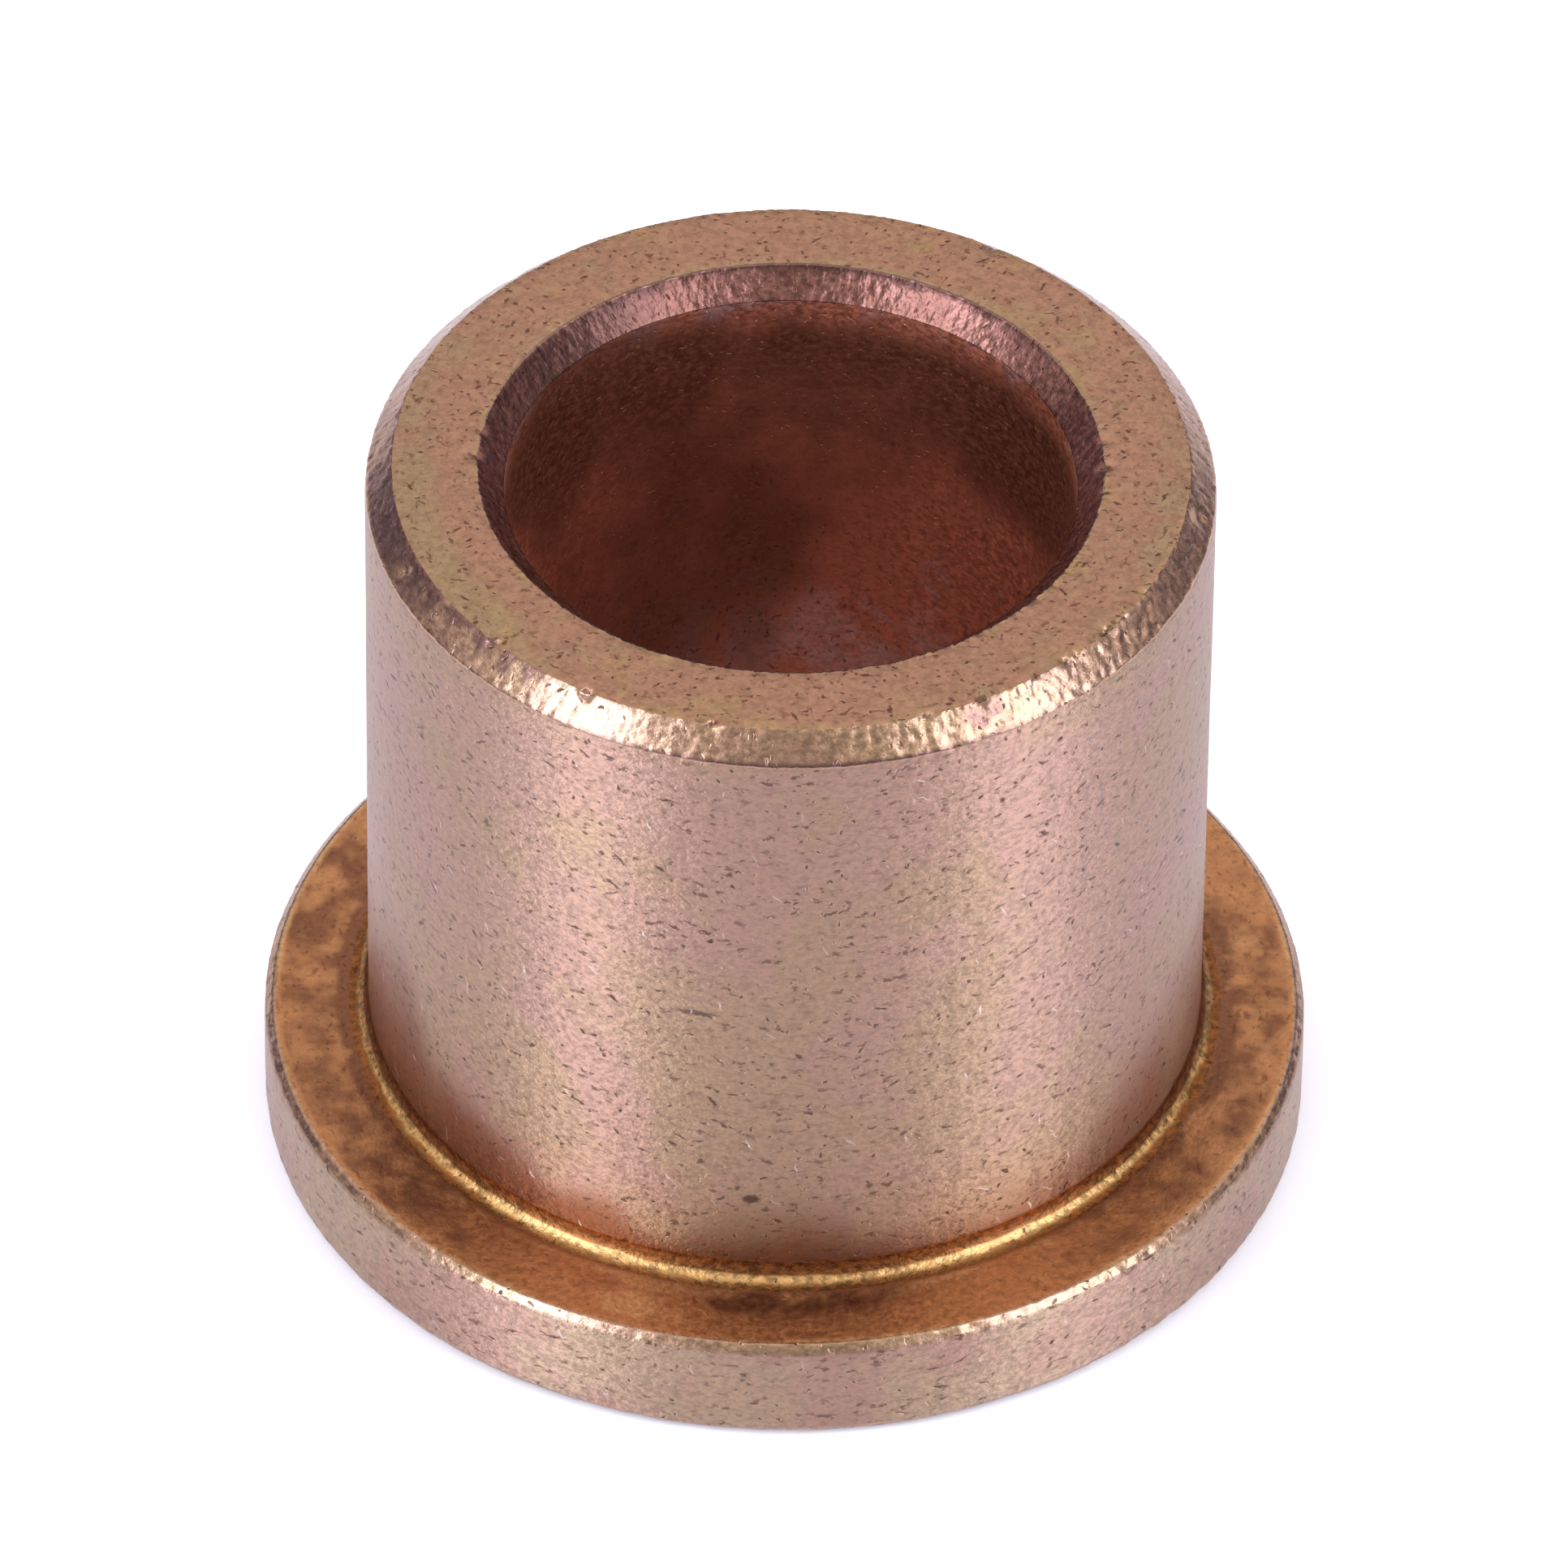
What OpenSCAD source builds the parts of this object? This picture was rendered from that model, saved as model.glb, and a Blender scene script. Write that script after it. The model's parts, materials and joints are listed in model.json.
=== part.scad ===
// Flanged plain bearing bushing, pressed in one piece from bronze powder.
// It stands on the underside of its flange. The axis is Z, and z = 0 is that underside.

/* [Bore] */
// Diameter of the bore that the shaft runs in
bore_d = 12.8; // [6:0.05:40]
// Leg of the chamfer at each mouth of the bore
bore_chamfer = 0.6; // [0.1:0.05:1]

/* [Barrel] */
// Thickness of the barrel's wall, from the bore to the outside
wall_t = 3.125; // [2.5:0.025:10]
// Length of the whole bushing, flange included
length = 18.6; // [12:0.1:60]
// Leg of the chamfer round the outside of the barrel's free end
nose_chamfer = 0.6; // [0.1:0.05:1]

/* [Flange] */
// Reach of the flange, from the barrel's outside to the rim
flange_reach = 2.375; // [1.5:0.025:10]
// Thickness of the flange
flange_t = 2.68; // [1.5:0.02:8]
// Leg of the fine chamfer on both edges of the rim
rim_chamfer = 0.2; // [0.05:0.01:0.4]
// Radius of the fillet in the corner where the barrel meets the flange
root_fillet = 0.45; // [0.1:0.05:0.8]

/* [Hidden] */
bore_r = bore_d / 2;
barrel_r = bore_r + wall_t;
flange_r = barrel_r + flange_reach;
round_steps = 180;
bronze = [0.74, 0.60, 0.50];

// One side of the section, cut through the axis: r runs along X, height along Y
module half_section() {
    polygon([
        [bore_r, bore_chamfer],
        [bore_r + bore_chamfer, 0],
        [flange_r - rim_chamfer, 0],
        [flange_r, rim_chamfer],
        [flange_r, flange_t - rim_chamfer],
        [flange_r - rim_chamfer, flange_t],
        [barrel_r, flange_t],
        [barrel_r, length - nose_chamfer],
        [barrel_r - nose_chamfer, length],
        [bore_r + bore_chamfer, length],
        [bore_r, length - bore_chamfer]
    ]);
}

// Section of the fillet: a square in the corner, with a quarter circle taken out.
// The square reaches the same distance into the metal, so that the two join.
module fillet_section() {
    translate([barrel_r, flange_t])
        difference() {
            translate([-root_fillet, -root_fillet])
                square(2 * root_fillet);
            translate([root_fillet, root_fillet])
                circle(r = root_fillet, $fn = round_steps);
        }
}

// The whole bushing: its section turned round the axis
module bushing() {
    color(bronze)
        rotate_extrude($fn = round_steps) {
            half_section();
            fillet_section();
        }
}

bushing();
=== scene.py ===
"""The looks of a flanged sintered-bronze bushing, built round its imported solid."""
import json
import math

import bpy
import numpy as np
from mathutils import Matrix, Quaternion, Vector


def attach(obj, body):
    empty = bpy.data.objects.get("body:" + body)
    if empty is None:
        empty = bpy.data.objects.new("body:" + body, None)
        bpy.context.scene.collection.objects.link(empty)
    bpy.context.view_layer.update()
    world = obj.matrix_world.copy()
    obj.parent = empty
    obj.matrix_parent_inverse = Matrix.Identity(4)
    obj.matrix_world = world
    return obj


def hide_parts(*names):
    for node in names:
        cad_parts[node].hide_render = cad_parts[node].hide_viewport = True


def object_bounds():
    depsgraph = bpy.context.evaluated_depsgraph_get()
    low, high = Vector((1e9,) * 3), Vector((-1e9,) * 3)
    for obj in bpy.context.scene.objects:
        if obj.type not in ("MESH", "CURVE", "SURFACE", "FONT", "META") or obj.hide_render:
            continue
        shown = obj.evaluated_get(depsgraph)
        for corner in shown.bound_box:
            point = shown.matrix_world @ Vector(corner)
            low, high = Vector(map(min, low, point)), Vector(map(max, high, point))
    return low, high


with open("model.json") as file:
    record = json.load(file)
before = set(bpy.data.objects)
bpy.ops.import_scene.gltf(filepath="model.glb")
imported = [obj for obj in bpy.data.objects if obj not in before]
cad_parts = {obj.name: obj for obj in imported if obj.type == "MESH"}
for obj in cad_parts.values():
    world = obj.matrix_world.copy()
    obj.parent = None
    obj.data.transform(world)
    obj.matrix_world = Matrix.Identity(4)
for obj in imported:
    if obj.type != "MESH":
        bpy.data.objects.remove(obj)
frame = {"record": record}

bl_info = {
    "name": "Flanged Bronze Bushing",
    "version": (1, 0, 0),
    "blender": (4, 5, 0),
    "location": "View3D > Sidebar > Bushing",
    "description": "Turns the worn surface of a sintered bronze bushing and sets its stage",
    "category": "Object",
}

CAD_BOX = [list(corner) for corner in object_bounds()]
MM = 0.001
MOUNTS = {mount["name"]: mount for mount in frame["record"]["mounts"]}


def wall_ends(name):
    """Lowest and highest point of a round mount's wall along Z, in metres."""
    mount = MOUNTS[name]
    half = mount["dims"]["length_mm"] * MM / 2
    return mount["pos_m"][2] - half, mount["pos_m"][2] + half


LENGTH = CAD_BOX[1][2] - CAD_BOX[0][2]
FLANGE_RADIUS = CAD_BOX[1][0]
BORE_RADIUS = MOUNTS["bore"]["dims"]["r_mm"] * MM
BARREL_RADIUS = MOUNTS["barrel"]["dims"]["r_mm"] * MM
FLANGE_THICKNESS = MOUNTS["housing_seat"]["pos_m"][2]


def measure(name, description, default):
    """A property that is a length."""
    return bpy.props.FloatProperty(
        name=name, description=description, default=default, unit="LENGTH", precision=5)


class BushingShape(bpy.types.PropertyGroup):
    """Sizes of the turned surface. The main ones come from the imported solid."""

    bore_radius: measure("Bore radius", "Radius of the bore's wall", BORE_RADIUS)
    barrel_radius: measure("Barrel radius", "Radius of the barrel's outside", BARREL_RADIUS)
    flange_radius: measure("Flange radius", "Radius of the flange's rim", FLANGE_RADIUS)
    length: measure("Length", "Length of the whole bushing", LENGTH)
    flange_thickness: measure("Flange thickness", "Thickness of the flange", FLANGE_THICKNESS)
    bore_chamfer: measure(
        "Bore chamfer", "Leg of the chamfer at each mouth of the bore",
        LENGTH - wall_ends("bore")[1])
    nose_chamfer: measure(
        "Nose chamfer", "Leg of the chamfer round the barrel's free end",
        LENGTH - wall_ends("barrel")[1])
    root_fillet: measure(
        "Root fillet", "Radius of the fillet between barrel and flange",
        wall_ends("barrel")[0] - FLANGE_THICKNESS)
    rim_chamfer: measure("Rim chamfer", "Leg of the fine chamfer on the rim's edges", 0.2 * MM)
    edge_round: measure("Edge rounding", "Radius that wear has left on every edge", 0.04 * MM)
    columns: bpy.props.IntProperty(
        name="Columns", description="Steps round the axis", default=790, min=64)


def colour(name, description, default):
    """A colour property."""
    return bpy.props.FloatVectorProperty(
        name=name, description=description, default=default,
        size=3, subtype="COLOR", min=0, max=1)


class BushingFinish(bpy.types.PropertyGroup):
    """Colours of the metal, and of the painted shade, highlights, glints and reflections on it."""

    tan: colour("Tan bronze", "Main colour of the sized walls", (0.43, 0.27, 0.152))
    pink: colour("Pink bronze", "Copper-rich patches of the walls", (0.45, 0.262, 0.178))
    olive: colour("Olive bronze", "Oil-stained patches", (0.38, 0.26, 0.15))
    face: colour("Pressed face", "Main colour of the flat top", (0.44, 0.24, 0.15))
    flange: colour("Flange face", "Oil-browned colour round the root", (0.53, 0.25, 0.104))
    # Painted light: the rim's bronze is a paler, lit copy of the walls' tan.
    rim: colour("Rim bronze", "Paler bronze of the flange's rim", (0.46, 0.31, 0.185))
    honey: colour("Honey", "Warm band of the flange beside the root", (0.66, 0.375, 0.17))
    # In the bore this colour is painted shade; on the flange it is oil.
    rust: colour("Rust brown", "Baked oil on the flange and the top", (0.19, 0.074, 0.038))
    # Painted shade on the barrel's foot, where it meets the flange.
    amber: colour("Amber brown", "Baked oil on the barrel's foot", (0.22, 0.066, 0.022))
    # The root's golden ring is its reflection, left bare between painted shade on both sides.
    gold: colour("Root", "Golden ring in the fillet at the root", (0.56, 0.33, 0.12))
    ember: colour("Root edges", "Orange brown on both sides of the ring", (0.235, 0.085, 0.022))
    # Painted glints: the bright colour of the scratches.
    glint: colour("Glints", "Bare metal in fresh scratches", (0.72, 0.57, 0.48))
    edge: colour("Edges", "Colour of the wrinkled chamfers", (0.43, 0.26, 0.165))
    # Painted reflection of the floor, low on the back of the bore.
    mauve: colour("Mauve bloom", "Pale bloom deep in the bore", (0.66, 0.385, 0.305))
    gilt: colour("Gilt bronze", "Yellow band along the outer edge of the top", (0.46, 0.30, 0.142))
    mouth: colour("Mouth", "Colour of the chamfer at the mouth of the bore", (0.215, 0.094, 0.068))
    blush: colour("Mouth patches", "Pinker patches of the mouth", (0.30, 0.14, 0.11))
    soot: colour("Soot", "Dark oil at the back of the mouth", (0.085, 0.038, 0.030))
    # Painted inter-reflection: the bore's bronze is redder, as light bouncing in the bore makes
    # it.
    bore: colour("Bore", "Oil-darkened colour of the bore's wall", (0.64, 0.252, 0.142))
    # Painted shade on the edges: the nose's sides and brow, the arc under the nose, and the
    # mouth's edge at the back.
    dusk: colour("Dusk", "Tarnish at the sides of the nose", (0.20, 0.10, 0.085))
    pore: colour("Pores", "Colour in the open pores and scratches", (0.10, 0.030, 0.008))


class BushingStage(bpy.types.PropertyGroup):
    """Camera, lamps and floor."""

    elevation: bpy.props.FloatProperty(
        name="Elevation", description="Angle of the camera above the floor",
        default=math.radians(41.58), subtype="ANGLE")
    roll: bpy.props.FloatProperty(
        name="Roll", description="Turn of the camera about its own line of sight",
        default=math.radians(-0.70), subtype="ANGLE")
    distance: bpy.props.FloatProperty(
        name="Distance", description="Distance from the camera to its aim",
        default=0.4286, unit="LENGTH")
    pixels_per_radius: bpy.props.FloatProperty(
        name="Scale", description="Pixels across one barrel radius in the 1932 pixel frame",
        default=517.7)
    aim_x: bpy.props.FloatProperty(
        name="Aim X", description="Pixel column where the aim lies", default=969.6)
    aim_y: bpy.props.FloatProperty(
        name="Aim Y", description="Pixel row where the aim lies", default=986.5)
    left_power: bpy.props.FloatProperty(
        name="Left lamp", description="Power of the left soft box",
        default=0.13, unit="POWER", precision=4)
    right_power: bpy.props.FloatProperty(
        name="Right lamp", description="Power of the right soft box",
        default=0.115, unit="POWER", precision=4)
    floor: bpy.props.FloatVectorProperty(
        name="Floor", description="Colour of the floor", size=3,
        default=(0.86, 0.86, 0.88), subtype="COLOR", min=0, max=1)


# The straight runs of the section, in order from its lower mouth. The arc that leads into a run
# has the run's number less ARC.
(LOWER_MOUTH, UNDERSIDE, LOWER_BEVEL, RIM, UPPER_BEVEL, SHOULDER, BARREL, NOSE, TOP,
 UPPER_MOUTH, BORE) = range(11)
ARC = 0.5

# The material slots, and the slot of each run or arc. All the others are edges.
SIZED_WALL, RIM_WALL, PRESSED_FACE, FLANGE_FACE, ROOT, EDGE_ZONE, MOUTH, BORE_WALL = range(8)
ZONE_OF_RUN = {
    LOWER_MOUTH: MOUTH, UNDERSIDE: PRESSED_FACE, RIM: RIM_WALL, UPPER_BEVEL - ARC: RIM_WALL,
    SHOULDER: FLANGE_FACE, BARREL - ARC: ROOT, BARREL: SIZED_WALL, TOP: PRESSED_FACE,
    UPPER_MOUTH: MOUTH, BORE - ARC: MOUTH, BORE: BORE_WALL,
}

# The seam of the grid lies a quarter turn from the X axis. In all tables the angles are in
# degrees from the X axis and the lengths in millimetres.
SEAM_TURN = 0.25

# Waves in the smooth noise, and the spread of their rates.
WAVES, WAVE_SPREAD = 64, 1.4

# Folds of the chamfers: their height on the arc before the chamfer, on the chamfer and on the
# arc after it, and their width. Elsewhere there is one of each.
FOLDS = {
    LOWER_MOUTH: (0.012, 0.020, 0.012, 0.5),
    LOWER_BEVEL: (0.020, 0.030, 0.020, 0.9),
    UPPER_BEVEL: (0.016, 0.016, 0.012, 0.36),
    NOSE: (0.016, 0.018, 0.024, 0.30),
    UPPER_MOUTH: (0.024, 0.017, 0.010, 0.28),
}
WEAR_ELSEWHERE = (0.008, 0.9)
WEAR = {
    run + step: (height, folds[-1])
    for run, folds in FOLDS.items() for step, height in zip((-ARC, 0, ARC), folds)}
LEAST_WEAR = 0.006 * MM

# Creases that make the folds: their size in widths of the folds, and their seed.
CREASES = ((1.0, 11), (1.0, 12), (0.45, 13), (0.45, 14))
CREASE_STRETCH, SMALL_CREASE_SHARE = 1.6, 0.4
SWELL_SIZE, SWELL_SEED, SWELL_SHARE = 4, 15, 0.35

# Wear in heights of the folds: its mean, and how far the folds swing it. They swing it by a
# least share, and more round the rough side.
MEAN_WEAR, FOLD_SWING, LEAST_SWING = 0.9, 0.7, 0.6
ROUGH_SIDE = (-48, 30)

# Chips: angle, radius, height, size and depth.
CHIPS = (
    (178, 7.0, 18.6, 0.16, 0.09), (171, 7.0, 18.6, 0.12, 0.06), (1, 7.0, 18.6, 0.20, 0.10),
    (8, 7.0, 18.6, 0.12, 0.06), (-6, 7.0, 18.6, 0.12, 0.05), (-137, 8.93, 18.6, 0.15, 0.05),
    (-62, 8.93, 18.6, 0.22, 0.06), (-158, 9.2, 18.3, 0.13, 0.06), (-8, 9.2, 18.3, 0.20, 0.07),
    (-101, 8.93, 18.6, 0.18, 0.04), (-38, 8.93, 18.6, 0.20, 0.05),
    (-120, 8.93, 18.6, 0.16, 0.06), (60, 8.93, 18.6, 0.20, 0.06), (132, 9.52, 18.0, 0.18, 0.05),
    (-84, 11.85, 2.55, 0.12, 0.03),
)


def rounded_section(corners, radii, arc_steps, run_steps, crowding):
    """A closed polygon with an arc in each corner.

    The arc of corner i starts where the run that comes in is a tangent length, radius times the
    tangent of half the turn, short of the corner, and turns by the angle between the two runs.
    The runs between the arcs are straight, with run_steps[i] points after corner i. They crowd
    towards both ends: the share of the way to the power crowding[i] is set against the same
    power of the share still left.
    Returns the points and the number of the run or corner that each belongs to."""
    corners = np.asarray(corners, float)
    count = len(corners)
    ahead = np.roll(corners, -1, 0) - corners
    ahead /= np.linalg.norm(ahead, axis=1)[:, None]
    behind = np.roll(ahead, 1, 0)
    cross = behind[:, 0] * ahead[:, 1] - behind[:, 1] * ahead[:, 0]
    turn = np.arctan2(cross, (behind * ahead).sum(1))
    tangent = np.asarray(radii) * np.tan(np.abs(turn) / 2)
    starts = corners - behind * tangent[:, None]
    ends = corners + ahead * tangent[:, None]
    left = np.stack([-behind[:, 1], behind[:, 0]], 1) * np.sign(turn)[:, None]
    centres = starts + left * np.asarray(radii)[:, None]
    points, runs = [], []
    for i in range(count):
        angle = turn[i] * np.linspace(0, 1, arc_steps[i])
        arm = starts[i] - centres[i]
        points.append(centres[i] + np.stack([
            arm[0] * np.cos(angle) - arm[1] * np.sin(angle),
            arm[0] * np.sin(angle) + arm[1] * np.cos(angle)], 1))
        runs.append(np.full(arc_steps[i], i - ARC))
        gone = (np.arange(run_steps[i]) + 1) / (run_steps[i] + 1)
        share = gone ** crowding[i] / (gone ** crowding[i] + (1 - gone) ** crowding[i])
        points.append(ends[i] + (starts[(i + 1) % count] - ends[i]) * share[:, None])
        runs.append(np.full(run_steps[i], float(i)))
    return np.concatenate(points), np.concatenate(runs)


def bushing_section(shape):
    """The bushing's section, anticlockwise from the lower end of the bore, as (radius, height).

    A row holds a corner, the radius and the points of its arc, and the points of the run after
    it with how they crowd."""
    bore, barrel, flange = shape.bore_radius, shape.barrel_radius, shape.flange_radius
    mouth, nose, rim = shape.bore_chamfer, shape.nose_chamfer, shape.rim_chamfer
    top, seat = shape.length, shape.flange_thickness
    edge = shape.edge_round
    rows = (
        ((bore, mouth), edge, 2, 2, 1),
        ((bore + mouth, 0), edge, 2, 3, 1),
        ((flange - rim, 0), edge * 3, 2, 1, 1),
        ((flange, rim), edge * 3, 2, 4, 1),
        ((flange, seat - rim), edge * 4, 4, 2, 1),
        ((flange - rim, seat), edge * 3, 3, 9, 1),
        ((barrel, seat), shape.root_fillet, 11, 24, 1.6),
        ((barrel, top - nose), edge * 3, 4, 9, 1),
        ((barrel - nose, top), edge, 3, 9, 1),
        ((bore + mouth, top), edge * 2.5, 4, 8, 1),
        ((bore, top - mouth), edge, 3, 14, 1),
    )
    corners, radii, arc_steps, run_steps, crowding = zip(*rows)
    return rounded_section(corners, radii, arc_steps, run_steps, crowding)


def turns_of(columns):
    """The angle of each column of the grid. The seam is at the back."""
    return (np.arange(columns) / columns + SEAM_TURN) * 2 * np.pi


def revolve(points, columns):
    """Grid of a section turned round Z: x and y are the radius times the cosine and sine of the
    angle, z is the height. Returns an array of columns by rows by 3."""
    angles = turns_of(columns)
    radius, height = points[:, 0], points[:, 1]
    return np.stack([
        np.cos(angles)[:, None] * radius,
        np.sin(angles)[:, None] * radius,
        np.broadcast_to(height, (columns, len(points)))], 2)


def section_normals(points):
    """Outward normals of the closed section: the chord from the point before to the point after,
    turned a quarter clockwise."""
    chord = np.roll(points, -1, 0) - np.roll(points, 1, 0)
    normal = np.stack([chord[:, 1], -chord[:, 0]], 1)
    return normal / np.linalg.norm(normal, axis=1)[:, None]


def section_run(section):
    """Distance along the section to each of its points, and the whole way round, in metres."""
    steps = np.linalg.norm(np.diff(section, axis=0, append=section[:1]), axis=1)
    return np.concatenate([[0], np.cumsum(steps)[:-1]]), steps.sum()


def wave_noise(angles, along, size, stretch, seed):
    """Smooth noise about -1 to 1 that closes on itself round the axis.

    It is the sum of sine waves of the angle times a whole number plus the distance along the
    section times a rate, over the square root of their count. The numbers are such that a wave
    is about size long round the axis, and stretch times that along the section."""
    random = np.random.default_rng(seed)
    whole = np.rint(
        random.normal(size=WAVES) * 2 * np.pi * BARREL_RADIUS / size / WAVE_SPREAD)
    rates = random.normal(size=WAVES) * 2 * np.pi / (size * stretch) / WAVE_SPREAD
    phases = random.uniform(0, 2 * np.pi, WAVES)
    total = np.zeros((len(angles), len(along)))
    for turns, rate, phase in zip(whole, rates, phases):
        total += np.sin(angles[:, None] * turns + along[None, :] * rate + phase)
    return total / math.sqrt(WAVES)


def relief(grid, angles, along, runs):
    """Depth of wear under the true surface, in metres, for each point of the grid.

    A crease is the size of smooth noise, which has a sharp valley where the noise crosses
    nought, and the difference of two creases gives flat facets between sharp folds. Each run of
    the section has its own height and width of folds. Chips take a round bite out of the edges,
    and their depth falls off as the exponential of minus the square of the distance in sizes."""
    wear = np.array([WEAR.get(run, WEAR_ELSEWHERE) for run in runs])
    swing = LEAST_SWING + lobe(np.degrees(angles)[:, None], *ROUGH_SIDE)
    depth = np.zeros(grid.shape[:2])
    for width in np.unique(wear[:, 1]):
        rows = wear[:, 1] == width
        part = along[rows]
        creases = [np.abs(wave_noise(angles, part, width * MM * scale, CREASE_STRETCH, seed))
                   for scale, seed in CREASES]
        swell = wave_noise(angles, part, width * MM * SWELL_SIZE, 1.0, SWELL_SEED)
        folds = (creases[0] - creases[1] + SMALL_CREASE_SHARE * (creases[2] - creases[3])
                 + SWELL_SHARE * swell)
        depth[:, rows] = wear[rows, 0] * MM * (MEAN_WEAR + FOLD_SWING * swing * folds)
    for angle, radius, level, size, bite in CHIPS:
        turn = math.radians(angle)
        middle = np.array([radius * math.cos(turn), radius * math.sin(turn), level]) * MM
        away = np.linalg.norm(grid - middle, axis=2) / (size * MM)
        depth = depth + bite * MM * np.exp(-away ** 2)
    return np.clip(depth, LEAST_WEAR, None)


def lobe(angles, middle, width):
    """A smooth hump of 1 round the axis: the exponential of minus the square of the turn away
    from its middle, in widths. The angles are in degrees."""
    away = (angles - middle + 180) % 360 - 180
    return np.exp(-(away / width) ** 2)


def lobes(turn, table):
    """The sum of humps round the axis, each times its strength."""
    return sum(strength * lobe(turn, middle, width) for middle, width, strength in table)


def patches(turn, place, table):
    """The sum of patches. A patch is a hump round the axis times its strength, times the
    exponential of minus the square of the way from its middle, in its depths."""
    return sum(strength * lobe(turn, angle, spread) * np.exp(-((place - middle) / depth) ** 2)
               for angle, spread, middle, depth, strength in table)


# Humps have rows of middle, width and strength. Patches have rows of angle, spread, middle,
# depth and strength, and their middle is a distance from the barrel on the flange and a depth
# under the top in the bore.
# Fine noise has rows of share, size and seed, and broad noise has a size, stretch and seed.
FINE_NOISE = ((1.0, 1.1, 31), (0.6, 0.4, 32))
BROAD_NOISE = (3.0, 1.5, 33)

# The painted shade on the barrel's foot, where it meets the flange: its reach up the barrel, its
# cover at the flange, how fast it falls and how far broad noise swings the reach. The spared part
# is a least share and one that fades upwards.
FOOT_REACH, FOOT_COVER, FOOT_FALL, FOOT_SWING = 0.9, 1.12, 0.75, 0.2
FOOT_PAINTED_SHADE = (
    (-160, 18, 2.9), (-151, 8, 0.7), (-138, 14, 0.5), (-121, 11, 0.75), (-90, 11, 0.9),
    (-60, 30, 0.3), (-32, 12, 1.7), (-8, 18, 4.3), (90, 60, 1.2),
)
SPARED_SIDE, SPARED_LEAST, SPARED_LOW = (-24, 34), 0.33, 0.25
SPARED_FRONT = ((-77, 12, 0.22),)

# The flange's stain: its mean, its speckle, and how far noise swings the patches.
FLANGE_COVER, FLANGE_SPECKLE, FLANGE_SWING = 0.10, 0.13, 0.3
FLANGE_STAINS = (
    (-90, 13, 0.93, 0.38, 0.95), (-142, 14, 1.3, 0.7, 0.45), (-104, 14, 1.6, 0.7, -0.3),
    (174, 35, 0.52, 0.17, 1.5), (-30, 18, 1.5, 0.5, 0.3), (-6, 30, 0.62, 0.16, 1.0),
    (176, 34, 1.5, 1.5, 0.46), (-4, 26, 1.3, 1.3, 0.40), (100, 50, 1.2, 0.6, 0.4),
)

# The painted shade on both sides of the golden ring in the root, which narrows the fillet's
# reflection to a thin line: the ring's height over the flange, half width, cover and speckle.
# Below it, the front is spared.
RING_HEIGHT, RING_WIDTH, RING_COVER, RING_SPECKLE = 0.105, 0.06, -0.35, 0.25
RING_SPARED = ((-95, 45, 0.55),)

# The top's stain: its mean and speckle, the face's inner radius and width, and the slope and
# start of the outer edge's cover across that width.
TOP_COVER, TOP_SPECKLE = 0.15, 0.2
TOP_INNER, TOP_WIDTH, TOP_SLOPE, TOP_START = 6.9, 2.1, 1.6, -0.6
TOP_STAINS = ((176, 32, 1.0), (-150, 22, 0.8), (-12, 22, 0.8))

# The painted shade on the nose, and that on its upper half, the brow.
NOSE_SPECKLE = 0.12
NOSE_PAINTED_SHADE = ((-170, 26, 0.62), (5, 26, 0.2), (-60, 9, 0.15))
BROW_HEIGHT, BROW_DEPTH, BROW_SPECKLE = 18.3, 0.25, 0.9
BROW_PAINTED_SHADE = ((-44, 20, 0.55), (-140, 18, 0.6))
# Painted shade: a dark line on the arc under the nose at the front.
UNDER_NOSE = ((-90, 45, 0.8),)

# The mouth's stains, its dark outer border, and painted shade on the edge outside it at the back,
# which leaves a bright line at the front.
MOUTH_STAINS = ((138, 24, 0.8),)
BORDER_DEPTH, BORDER_FADE, BORDER_SIDE = 0.22, 0.15, (90, 80)
BORDER_COVER, BORDER_SPECKLE = 0.6, 0.4
MOUTH_EDGE = ((90, 75, 1.0),)

# The painted shade in the bore: its mean, how far broad noise swings it, and more near the top.
BORE_COVER, BORE_SWING, BORE_TOP, BORE_FADE = 0.34, 0.1, 0.65, 4.5
BORE_STAINS = (
    (112, 24, 8.5, 3.0, 0.40), (42, 30, 8.0, 4.0, -0.8), (150, 24, 2.5, 2.0, 0.4),
    (36, 20, 2.8, 2.4, 0.8), (172, 20, 7.0, 4.0, -1.0), (90, 20, 3.0, 2.0, -0.15),
    (94, 12, 7.5, 1.8, 0.45), (122, 16, 10.5, 1.5, 0.25), (80, 14, 10.4, 1.2, -0.35),
)


def foot_painted_shade(turn, over, broad):
    """Painted shade on the barrel's foot, where it meets the flange. It falls off with the height
    over the flange, in shares of its reach, and is spared at the front and the right."""
    reach = FOOT_REACH + lobes(turn, FOOT_PAINTED_SHADE)
    foot = np.clip(FOOT_COVER - FOOT_FALL * over / (reach * (1 + FOOT_SWING * broad)), 0, 1)
    spared = lobe(turn, *SPARED_SIDE) * (SPARED_LEAST + SPARED_LOW * np.exp(-over ** 2))
    return foot * (1 - (spared + lobes(turn, SPARED_FRONT)))


def flange_stain(turn, out, noise):
    """Oil on the flange, in patches by angle and by the distance from the barrel."""
    swing = 1 + FLANGE_SWING * noise
    return FLANGE_COVER + FLANGE_SPECKLE * noise + swing * patches(turn, out, FLANGE_STAINS)


def ring_painted_shade(turn, over, noise):
    """Painted shade on both sides of the golden ring in the root, which narrows its reflection."""
    ring = np.abs(over - RING_HEIGHT) / RING_WIDTH + RING_COVER + RING_SPECKLE * noise
    return np.clip(ring, 0, 1) * (1 - lobes(turn, RING_SPARED) * (over < RING_HEIGHT))


def top_stain(turn, radius, noise):
    """Oil on the top face, along its outer edge at the sides."""
    share = (radius - TOP_INNER) / TOP_WIDTH
    outer = np.clip(share * TOP_SLOPE + TOP_START, 0, 1)
    return TOP_COVER + TOP_SPECKLE * noise + lobes(turn, TOP_STAINS) * outer


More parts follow.
